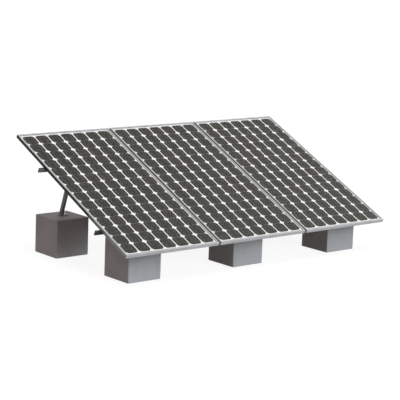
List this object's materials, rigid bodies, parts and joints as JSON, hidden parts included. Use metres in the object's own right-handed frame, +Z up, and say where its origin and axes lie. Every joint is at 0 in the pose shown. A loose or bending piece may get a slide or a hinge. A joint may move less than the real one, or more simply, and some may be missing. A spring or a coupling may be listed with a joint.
{
  "type": "solar panel mounting rack",
  "caption": "Tilted ground rack: framed solar panels on two lipped channel rails, carried by folded feet and leaning channel legs on square concrete ballast blocks.",
  "frame": {"origin": "on the ground, below the middle of the rack's overall box", "axes": "+X along the row of panels to the right as seen from the low side, +Y from the low side to the high side, +Z up"},
  "size_m": [3.128, 1.6704, 1.076],
  "materials": {
    "concrete": "matte",
    "galvanised_steel": "satin",
    "zinc_screw": "satin",
    "anodised_frame": "satin",
    "cover_glass": "gloss",
    "silicon_cell": "satin",
    "white_backsheet": "matte",
    "black_rubber": "matte",
    "black_plastic": "matte"
  },
  "bodies": {
    "root": {"anchor_screws": "zinc_screw", "frame_corner_keys": "anodised_frame", "front_left_block": "concrete", "front_left_foot": "galvanised_steel", "front_middle_block": "concrete", "front_middle_foot": "galvanised_steel", "front_rail": "galvanised_steel", "front_rail_left_plug": "black_plastic", "front_rail_right_plug": "black_plastic", "front_right_block": "concrete", "front_right_foot": "galvanised_steel", "left_panel_backsheet": "white_backsheet", "left_panel_cells": "silicon_cell", "left_panel_edge_seal": "black_rubber", "left_panel_frame_bottom": "anodised_frame", "left_panel_frame_left": "anodised_frame", "left_panel_frame_right": "anodised_frame", "left_panel_frame_top": "anodised_frame", "left_panel_glass": "cover_glass", "left_panel_junction_box": "black_plastic", "left_panel_junction_box_lid": "black_plastic", "middle_panel_backsheet": "white_backsheet", "middle_panel_cells": "silicon_cell", "middle_panel_edge_seal": "black_rubber", "middle_panel_frame_bottom": "anodised_frame", "middle_panel_frame_left": "anodised_frame", "middle_panel_frame_right": "anodised_frame", "middle_panel_frame_top": "anodised_frame", "middle_panel_glass": "cover_glass", "middle_panel_junction_box": "black_plastic", "middle_panel_junction_box_lid": "black_plastic", "rear_left_block": "concrete", "rear_left_leg": "galvanised_steel", "rear_left_leg_cleat": "galvanised_steel", "rear_middle_block": "concrete", "rear_middle_leg": "galvanised_steel", "rear_middle_leg_cleat": "galvanised_steel", "rear_rail": "galvanised_steel", "rear_rail_left_plug": "black_plastic", "rear_rail_right_plug": "black_plastic", "rear_right_block": "concrete", "rear_right_leg": "galvanised_steel", "rear_right_leg_cleat": "galvanised_steel", "right_panel_backsheet": "white_backsheet", "right_panel_cells": "silicon_cell", "right_panel_edge_seal": "black_rubber", "right_panel_frame_bottom": "anodised_frame", "right_panel_frame_left": "anodised_frame", "right_panel_frame_right": "anodised_frame", "right_panel_frame_top": "anodised_frame", "right_panel_glass": "cover_glass", "right_panel_junction_box": "black_plastic", "right_panel_junction_box_lid": "black_plastic"}
  },
  "joints": []
}
